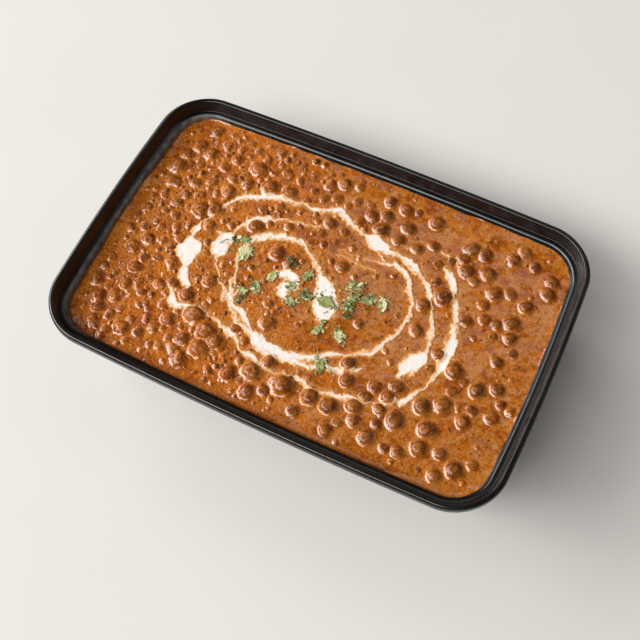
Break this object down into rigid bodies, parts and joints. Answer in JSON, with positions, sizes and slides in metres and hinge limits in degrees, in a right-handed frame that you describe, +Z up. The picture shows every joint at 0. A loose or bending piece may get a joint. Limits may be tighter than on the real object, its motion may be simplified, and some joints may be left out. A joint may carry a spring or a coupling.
{
  "type": "dal makhani in a rectangular takeaway tub",
  "caption": "Thick lentil stew with poured cream strokes and chopped coriander, filled to just under the lid ledge of a rounded rectangular black plastic tub.",
  "frame": {"origin": "middle of the tub's flat underside", "axes": "+X along the tub's long side, +Y across it, +Z up out of the open top"},
  "size_m": [0.172, 0.1136, 0.04],
  "materials": {
    "tub": "satin black polypropylene",
    "stew": "glossy thick orange-brown gravy with dark specks and brown lentils",
    "cream": "smooth off-white cream",
    "coriander": "matt chopped green leaf"
  },
  "bodies": {
    "root": {"tub": "tub", "dal": "stew", "coriander_01": "coriander", "coriander_02": "coriander", "coriander_03": "coriander", "coriander_04": "coriander", "coriander_05": "coriander", "coriander_06": "coriander", "coriander_07": "coriander", "coriander_08": "coriander", "coriander_09": "coriander", "coriander_10": "coriander", "coriander_11": "coriander", "coriander_12": "coriander", "coriander_13": "coriander", "coriander_14": "coriander", "coriander_15": "coriander", "coriander_16": "coriander", "coriander_17": "coriander", "coriander_18": "coriander"}
  },
  "joints": []
}
